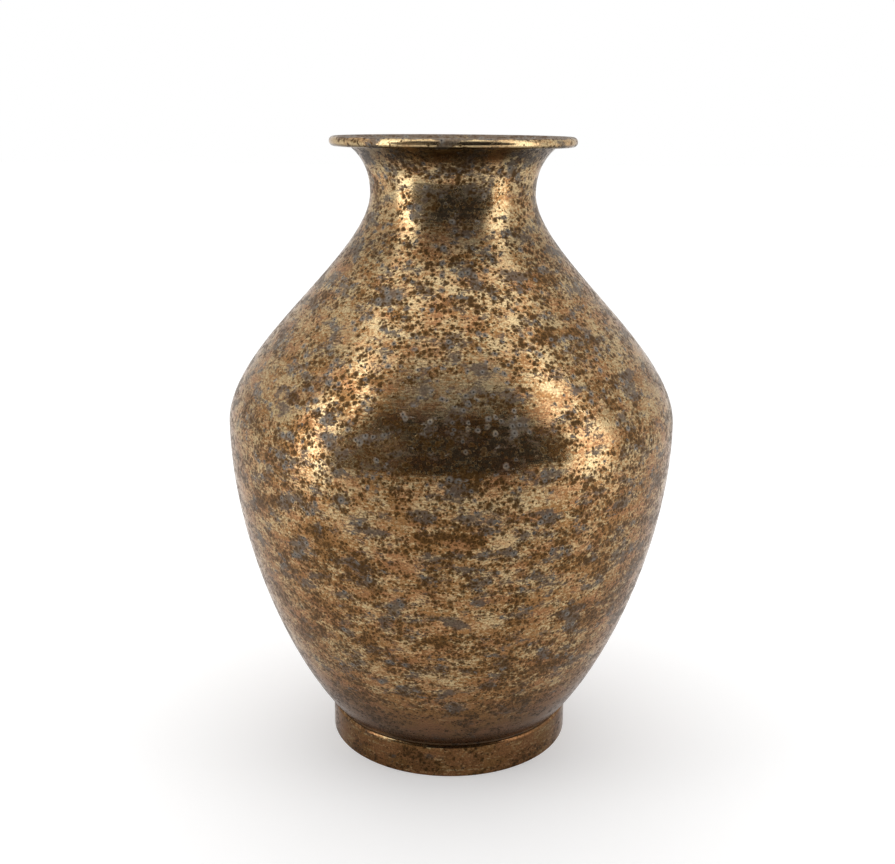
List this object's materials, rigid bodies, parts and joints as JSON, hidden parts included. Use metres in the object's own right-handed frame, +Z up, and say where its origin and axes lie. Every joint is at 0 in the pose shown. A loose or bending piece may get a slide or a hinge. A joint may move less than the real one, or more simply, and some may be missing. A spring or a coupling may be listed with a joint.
{
  "type": "metal vase",
  "caption": "Spun copper-alloy vase with a full belly, a waisted neck, a wired flaring lip and a low foot ring, under a mottled brown and gold patina.",
  "frame": {"origin": "centre of the foot ring's standing face, on the vase's axis", "axes": "+Z up along the vase's axis; X and Y are equal because the vase is round"},
  "size_m": [0.217, 0.217, 0.3],
  "materials": {
    "patinated_metal": "worn polish under a mottled brown patina",
    "hard_solder": "dressed flush",
    "rim_wire": "drawn wire"
  },
  "bodies": {
    "root": {"upper_shell": "patinated_metal", "lower_shell": "patinated_metal", "foot_ring": "patinated_metal", "girth_braze": "hard_solder", "foot_braze": "hard_solder", "rim_wire": "rim_wire"}
  },
  "joints": []
}
